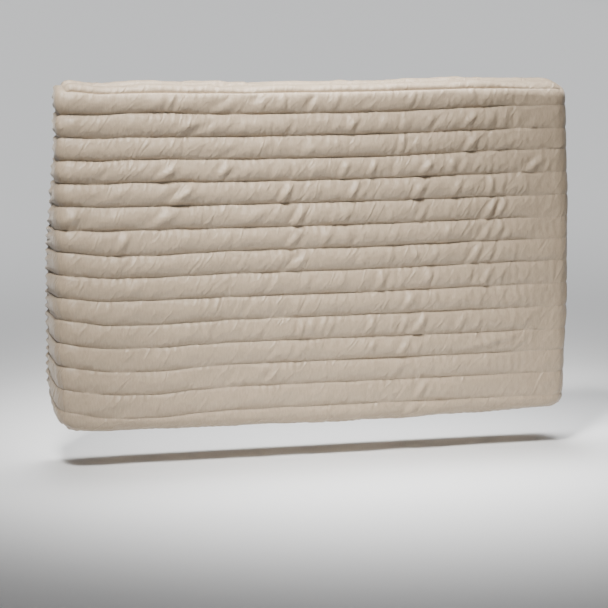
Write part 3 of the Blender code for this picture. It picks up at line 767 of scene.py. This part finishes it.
class Skin:
    """Collects points and faces. Points with one place in the cloth's grid are shared."""

    def __init__(self):
        self.points, self.faces, self.flat, self.found = [], [], [], {}

    def point(self, key, place):
        if key not in self.found:
            self.found[key] = len(self.points)
            self.points.append(place)
        return self.found[key]

    def face(self, corners, flat):
        self.faces.append(corners)
        self.flat.extend(flat)

    def cloth(self, rows, columns, depths, outer):
        for x, row, e, u, v in patches(rows, columns, depths):
            places = cloth_point(x, row, e, outer)
            across, down = x.shape
            index = np.empty(x.shape, dtype=int)
            for i in range(across):
                for j in range(down):
                    key = grid_key(outer, x[i, j], row[i, j], e[i, j])
                    index[i, j] = self.point(key, tuple(places[i, j]))
            for i in range(across - 1):
                for j in range(down - 1):
                    corners = ((i, j), (i + 1, j), (i + 1, j + 1), (i, j + 1))
                    self.face([int(index[c]) for c in corners], [(u[c], v[c]) for c in corners])

    def edge(self, rows, columns, depth, outer):
        """The corners of the cloth's open edge at that depth, once around, as points of the grid."""
        return [self.found[grid_key(outer, x, row, depth)] for x, row in around(rows, columns)]


def around(rows, columns):
    """Places in the grid along the open edge, once around."""
    path = [(x, 0.0) for x in columns] + [(HALF, row) for row in rows[1:]]
    path += [(x, float(FOOT)) for x in columns[::-1][1:]] + [(-HALF, row) for row in rows[::-1][1:-1]]
    return path


def add_rim(skin, rows, columns):
    """Rolls the hem's edge over from the outer face to the inner one, and returns its last loop."""
    path = around(rows, columns)
    x = np.array([p[0] for p in path])
    row = np.array([p[1] for p in path])
    depth = np.full_like(x, DEPTH)
    outside = cloth_point(x, row, depth, True)
    inside = cloth_point(x, row, depth, False)
    last = cloth_point(x, row, depth - RIM_INSIDE * RIM_LAST_SHARE, False)
    loops = [skin.edge(rows, columns, DEPTH, True)]
    thick = np.linalg.norm(outside - inside, axis=1, keepdims=True)
    for step in range(1, RIM_STEPS + 1):
        turn = math.pi * step / (RIM_STEPS + 1)
        share = (1 - math.cos(turn)) / 2
        ring = outside * (1 - share) + inside * share
        ring = ring + np.array([0, 1, 0]) * thick / 2 * math.sin(turn)
        if step == RIM_STEPS:
            ring = last
        loops.append([skin.point(("rim", step, k), tuple(place)) for k, place in enumerate(ring)])
    run = np.concatenate([[0], np.cumsum(np.linalg.norm(np.diff(outside, axis=0), axis=1))])
    for step, (a, b) in enumerate(zip(loops, loops[1:])):
        for k in range(len(a)):
            n = (k + 1) % len(a)
            ends = (run[k], run[k] + RIM_FLAT_WIDTH)
            v0, v1 = step * MM * RIM_FLAT_STEP, (step + 1) * MM * RIM_FLAT_STEP
            skin.face([a[k], a[n], b[n], b[k]], [(ends[0], v0), (ends[1], v0), (ends[1], v1), (ends[0], v1)])
    return loops[-1]


def close_loops(skin, outer_loop, inner_loop):
    """Joins two loops with a strip of triangles, always taking the shorter next step."""
    points = [Vector(p) for p in skin.points]
    a, b = 0, 0
    while a < len(outer_loop) or b < len(inner_loop):
        here_a, here_b = outer_loop[a % len(outer_loop)], inner_loop[b % len(inner_loop)]
        next_a, next_b = outer_loop[(a + 1) % len(outer_loop)], inner_loop[(b + 1) % len(inner_loop)]
        step_a = (points[next_a] - points[here_b]).length
        step_b = (points[next_b] - points[here_a]).length
        if b == len(inner_loop) or (a < len(outer_loop) and step_a <= step_b):
            corners = [here_a, here_b, next_a]
            a += 1
        else:
            corners = [here_a, here_b, next_b]
            b += 1
        skin.face(corners, [(points[c].x, points[c].z) for c in corners])


def mesh_object(name, points, faces, flat=None):
    """A smooth-shaded mesh, with the flat cloth coordinates of each face corner if they are given."""
    data = bpy.data.meshes.new(name)
    data.from_pydata(points, [], faces)
    if flat is not None:
        layer = data.uv_layers.new(name="cloth")
        layer.uv.foreach_set("vector", np.array(flat, dtype=np.float32).ravel())
    data.validate()
    data.shade_smooth()
    made = bpy.data.objects.new(name, data)
    bpy.context.scene.collection.objects.link(made)
    return made


def turn_outward(made):
    """Makes the faces of a closed mesh point outward, all alike."""
    mesh = bmesh.new()
    mesh.from_mesh(made.data)
    bmesh.ops.recalc_face_normals(mesh, faces=mesh.faces)
    mesh.to_mesh(made.data)
    mesh.free()


def make_cover():
    """The outer cloth, its rolled hem and the inner cloth, as one closed mesh."""
    skin = Skin()
    rows, columns = grid_lines(CHANNEL_STEPS, FOOT_STEPS, COLUMNS, ARC_COLUMNS)
    depths = np.concatenate([EDGE_DEPTHS, np.linspace(FRONT_RADIUS, DEPTH, DEPTH_LINES)[1:]])
    skin.cloth(rows, columns, depths, outer=True)
    rim = add_rim(skin, rows, columns)
    inner_lines = (INNER_CHANNEL_STEPS, INNER_CHANNEL_STEPS, INNER_COLUMNS, INNER_ARC_COLUMNS)
    inner_rows, inner_columns = grid_lines(*inner_lines)
    inner_turns = FRONT_RADIUS * (1 - np.tan(np.linspace(math.pi / 4, 0, INNER_ARC_COLUMNS + 1)))
    back = DEPTH - RIM_INSIDE
    inner_depths = np.concatenate([inner_turns, np.linspace(FRONT_RADIUS, back, INNER_DEPTH_LINES)[1:]])
    skin.cloth(inner_rows, inner_columns, inner_depths, outer=False)
    close_loops(skin, rim, skin.edge(inner_rows, inner_columns, inner_depths[-1], False))
    cover = mesh_object("cover_cloth", skin.points, skin.faces, skin.flat)
    turn_outward(cover)
    return cover


def stitch_lines():
    """Runs of x, row and depth along every sewn line of the outside, as closely spaced points."""
    across = np.arange(-HALF, HALF, STITCH_LINE_STEP)
    along = np.arange(STITCH_LINE_STEP, STITCH_LINES_END, STITCH_LINE_STEP)
    for line in range(FOOT):
        left = (np.full_like(along, -HALF)[::-1], np.full_like(along, line)[::-1], along[::-1])
        front = (across, np.full_like(across, line), np.zeros_like(across))
        right = (np.full_like(along, HALF), np.full_like(along, line), along)
        parts = [front] if line == 0 else [left, front, right]
        yield tuple(np.concatenate(values) for values in zip(*parts))
    for row, first in ((0.0, CHANNEL), (float(FOOT), BOTTOM_FIRST_LINE)):
        e = first
        while e < LAST_WALL_LINE:
            yield across, np.full_like(across, row), np.full_like(across, e)
            e += CHANNEL
    rows = np.linspace(0, FOOT, int(HEM_LINE_LENGTH / STITCH_LINE_STEP))
    hem = DEPTH - HEM_BAND
    for x in (-HALF, HALF):
        yield np.full_like(rows, x), rows, np.full_like(rows, hem)
    for row in (0.0, float(FOOT)):
        yield across, np.full_like(across, row), np.full_like(across, hem)


def make_stitches():
    """Each stitch is a short four-sided thread that dips into the cloth at both ends."""
    points, faces = [], []
    for x, row, e in stitch_lines():
        path = cloth_point(x, row, e, True)
        inner = cloth_point(x, row, e, False)
        out = path - inner
        out /= np.linalg.norm(out, axis=1, keepdims=True)
        run = np.concatenate([[0], np.cumsum(np.linalg.norm(np.diff(path, axis=0), axis=1))])
        count = int(run[-1] / (STITCH + STITCH_GAP))
        for k in range(count):
            start = k * (STITCH + STITCH_GAP)
            stations = start + STITCH * np.array(STITCH_STATIONS)
            spots = np.stack([np.interp(stations, run, path[:, axis]) for axis in range(3)], axis=1)
            outs = np.stack([np.interp(stations, run, out[:, axis]) for axis in range(3)], axis=1)
            way = spots[-1] - spots[0]
            way /= np.linalg.norm(way)
            aside = np.cross(way, outs[1])
            aside /= np.linalg.norm(aside)
            up = np.cross(aside, way)
            lifts = np.array(STITCH_LIFTS) * THREAD_RADIUS - STITCH_SINK
            first = len(points)
            for spot, lift in zip(spots, lifts):
                centre = spot + up * lift
                for turn in range(STITCH_SIDES):
                    angle = math.pi / 4 + turn * math.pi / 2
                    ring = aside * math.cos(angle) + up * math.sin(angle)
                    points.append(tuple(centre + ring * THREAD_RADIUS))
            for section in range(len(STITCH_STATIONS) - 1):
                for turn in range(STITCH_SIDES):
                    a = first + section * STITCH_SIDES + turn
                    b = first + section * STITCH_SIDES + (turn + 1) % STITCH_SIDES
                    faces.append([a, b, b + STITCH_SIDES, a + STITCH_SIDES])
            faces.append([first, first + 3, first + 2, first + 1])
            faces.append([first + 12, first + 13, first + 14, first + 15])
    stitches = mesh_object("stitching", points, faces)
    turn_outward(stitches)
    return stitches


def node(tree, kind, **inputs):
    """A shader node with its inputs set by name."""
    made = tree.nodes.new(kind)
    for name, value in inputs.items():
        made.inputs[name.replace("_", " ")].default_value = value
    return made


def cloth_material():
    """Beige woven polyester: fine plain weave, faint tint patches, a satin sheen."""
    material = bpy.data.materials.new("quilted_cloth")
    material.use_nodes = True
    tree = material.node_tree
    link = tree.links.new
    surface = tree.nodes["Principled BSDF"]
    surface.inputs["Roughness"].default_value = 0.46
    surface.inputs["Specular IOR Level"].default_value = 0.45
    surface.inputs["Sheen Weight"].default_value = 0.25
    surface.inputs["Sheen Roughness"].default_value = 0.40
    surface.inputs["Sheen Tint"].default_value = CLOTH_SHEEN

    place = tree.nodes.new("ShaderNodeTexCoord")
    patch = node(tree, "ShaderNodeTexNoise", Scale=9.0, Detail=2.0, Roughness=0.5)
    link(place.outputs["Object"], patch.inputs["Vector"])
    tint = tree.nodes.new("ShaderNodeMix")
    tint.data_type = "RGBA"
    tint.inputs["A"].default_value = CLOTH_DEEP
    tint.inputs["B"].default_value = CLOTH_PALE
    link(patch.outputs["Fac"], tint.inputs["Factor"])

    flat = tree.nodes.new("ShaderNodeUVMap")
    flat.uv_map = "cloth"
    warp = tree.nodes.new("ShaderNodeTexWave")
    warp.bands_direction = "X"
    weft = tree.nodes.new("ShaderNodeTexWave")
    weft.bands_direction = "Y"
    for wave in (warp, weft):
        wave.inputs["Scale"].default_value = 700.0
        wave.inputs["Distortion"].default_value = 0.6
        wave.inputs["Detail"].default_value = 1.0
        link(flat.outputs["UV"], wave.inputs["Vector"])
    weave = tree.nodes.new("ShaderNodeMath")
    weave.operation = "MULTIPLY"
    link(warp.outputs["Fac"], weave.inputs[0])
    link(weft.outputs["Fac"], weave.inputs[1])

    ribs = tree.nodes.new("ShaderNodeMapping")
    ribs.inputs["Scale"].default_value = (520.0, 150.0, 1.0)
    link(flat.outputs["UV"], ribs.inputs["Vector"])
    slub = node(tree, "ShaderNodeTexNoise", Scale=1.0, Detail=3.0, Roughness=0.6)
    link(ribs.outputs["Vector"], slub.inputs["Vector"])
    crinkle = node(tree, "ShaderNodeTexNoise", Scale=120.0, Detail=3.0, Roughness=0.55)
    link(place.outputs["Object"], crinkle.inputs["Vector"])

    thread = tree.nodes.new("ShaderNodeMapRange")
    thread.inputs["From Min"].default_value = 0.3
    thread.inputs["From Max"].default_value = 0.7
    thread.inputs["To Min"].default_value = 0.88
    thread.inputs["To Max"].default_value = 1.08
    link(slub.outputs["Fac"], thread.inputs["Value"])
    shade = tree.nodes.new("ShaderNodeMix")
    shade.data_type = "RGBA"
    shade.blend_type = "MULTIPLY"
    shade.inputs["Factor"].default_value = 1.0
    link(tint.outputs["Result"], shade.inputs["A"])
    link(thread.outputs["Result"], shade.inputs["B"])
    link(shade.outputs["Result"], surface.inputs["Base Color"])

    slanted = tree.nodes.new("ShaderNodeMapping")
    slanted.vector_type = "TEXTURE"
    slanted.inputs["Rotation"].default_value = (0.0, 0.0, math.radians(58))
    slanted.inputs["Scale"].default_value = (0.024, 0.0085, 1.0)
    link(flat.outputs["UV"], slanted.inputs["Vector"])
    wrinkle = node(tree, "ShaderNodeTexNoise", Scale=1.0, Detail=2.0, Roughness=0.5, Distortion=0.8)
    wrinkle.noise_type = "RIDGED_MULTIFRACTAL"
    link(slanted.outputs["Vector"], wrinkle.inputs["Vector"])
    folded = node(tree, "ShaderNodeBump", Strength=0.6, Distance=0.0026)
    link(wrinkle.outputs["Fac"], folded.inputs["Height"])
    coarse = node(tree, "ShaderNodeBump", Strength=0.30, Distance=0.0012)
    link(crinkle.outputs["Fac"], coarse.inputs["Height"])
    link(folded.outputs["Normal"], coarse.inputs["Normal"])
    fine = node(tree, "ShaderNodeBump", Strength=0.18, Distance=0.00025)
    link(weave.outputs["Value"], fine.inputs["Height"])
    link(coarse.outputs["Normal"], fine.inputs["Normal"])
    link(fine.outputs["Normal"], surface.inputs["Normal"])
    return material


def thread_material():
    """Sewing thread, a little darker than the cloth, with a twisted ply."""
    material = bpy.data.materials.new("sewing_thread")
    material.use_nodes = True
    tree = material.node_tree
    link = tree.links.new
    surface = tree.nodes["Principled BSDF"]
    surface.inputs["Roughness"].default_value = 0.55
    surface.inputs["Sheen Weight"].default_value = 0.2
    place = tree.nodes.new("ShaderNodeTexCoord")
    twist = node(tree, "ShaderNodeTexNoise", Scale=900.0, Detail=1.0)
    link(place.outputs["Object"], twist.inputs["Vector"])
    colour = tree.nodes.new("ShaderNodeMix")
    colour.data_type = "RGBA"
    colour.inputs["A"].default_value = THREAD_DEEP
    colour.inputs["B"].default_value = THREAD_PALE
    link(twist.outputs["Fac"], colour.inputs["Factor"])
    link(colour.outputs["Result"], surface.inputs["Base Color"])
    return material


def floor_material():
    """Plain pale matt surface."""
    material = bpy.data.materials.new("pale_floor")
    material.use_nodes = True
    surface = material.node_tree.nodes["Principled BSDF"]
    surface.inputs["Base Color"].default_value = FLOOR_COLOUR
    surface.inputs["Roughness"].default_value = 0.9
    return material


def make_floor():
    half = FLOOR_SIZE / 2
    corners = [(-half, -half, FLOOR_LEVEL), (half, -half, FLOOR_LEVEL)]
    corners += [(half, half, FLOOR_LEVEL), (-half, half, FLOOR_LEVEL)]
    floor = mesh_object("floor", corners, [[0, 1, 2, 3]])
    floor.data.materials.append(floor_material())


def make_camera():
    yaw, pitch, roll = (math.radians(a) for a in (CAMERA_YAW, CAMERA_PITCH, CAMERA_ROLL))
    flat = math.cos(pitch)
    forward = Vector((math.sin(yaw) * flat, math.cos(yaw) * flat, -math.sin(pitch)))
    level = Vector((math.cos(yaw), -math.sin(yaw), 0))
    upright = level.cross(forward)
    right = level * math.cos(roll) + upright * math.sin(roll)
    up = upright * math.cos(roll) - level * math.sin(roll)
    camera = bpy.data.objects.new("camera", bpy.data.cameras.new("camera"))
    camera.data.sensor_width = SENSOR
    camera.data.lens = CAMERA_LENS
    camera.data.clip_end = VIEW_ENDS
    turned = Matrix((right, up, -forward)).transposed()
    place = Vector(CAMERA_TARGET) - forward * CAMERA_DISTANCE
    camera.matrix_world = Matrix.Translation(place) @ turned.to_4x4()
    bpy.context.scene.collection.objects.link(camera)
    bpy.context.scene.camera = camera


def toward(elevation, azimuth, distance):
    """A place that far from the middle of the cover. The azimuth is less than 0 to the left of the front."""
    up, turn = math.radians(elevation), math.radians(azimuth)
    level = math.cos(up) * distance
    return (level * math.sin(turn), -level * math.cos(turn), MIDDLE[2] + math.sin(up) * distance)


def make_light(name, place, aim, size, power, spread, colour):
    """A square area light turned to what it lights. Its spread is in degrees."""
    light = bpy.data.objects.new(name, bpy.data.lights.new(name, "AREA"))
    light.data.shape = "SQUARE"
    light.data.size = size
    light.data.energy = power
    light.data.spread = math.radians(spread)
    light.data.color = colour
    light.location = place
    light.rotation_mode = "QUATERNION"
    light.rotation_quaternion = (Vector(aim) - Vector(place)).to_track_quat("-Z", "Y")
    bpy.context.scene.collection.objects.link(light)


# Each light: name, place, what it is turned to, side of its square, power, spread and colour
LIGHTS = (
    ("key", toward(54, -34, 2.4), MIDDLE, 0.50, 4.3, 28, (1.0, 0.985, 0.96)),
    ("top", toward(80, 170, 1.3), (0.08, 0.0, 0.0), 0.7, 4.0, 40, (1.0, 1.0, 1.0)),
    ("upper_left", toward(50, -30, 1.5), (-0.22, 0.0, -0.02), 0.4, 0.20, 25, (1.0, 0.99, 0.97)),
    ("low", (0.0, -1.3, -0.40), (0.05, 0.0, -0.45), 0.5, 0.004, 22, (1.0, 0.84, 0.76)),
    ("backdrop", (0.0, 9.5, 5.0), (0.0, 9.5, 0.0), 18.0, 900.0, 50, (1.0, 1.0, 1.0)),
)


def make_lights():
    """All the lights, and the even pale light from around."""
    for light in LIGHTS:
        make_light(*light)
    world = bpy.data.worlds.new("studio")
    world.use_nodes = True
    world.node_tree.nodes["Background"].inputs["Color"].default_value = SURROUNDINGS
    world.node_tree.nodes["Background"].inputs["Strength"].default_value = SURROUNDINGS_STRENGTH
    bpy.context.scene.world = world


make_camera()
make_lights()
make_floor()

cover = make_cover()
cover.data.materials.append(cloth_material())
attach(cover, "root")
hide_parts("quilted_cover")

stitches = make_stitches()
stitches.data.materials.append(thread_material())
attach(stitches, "root")
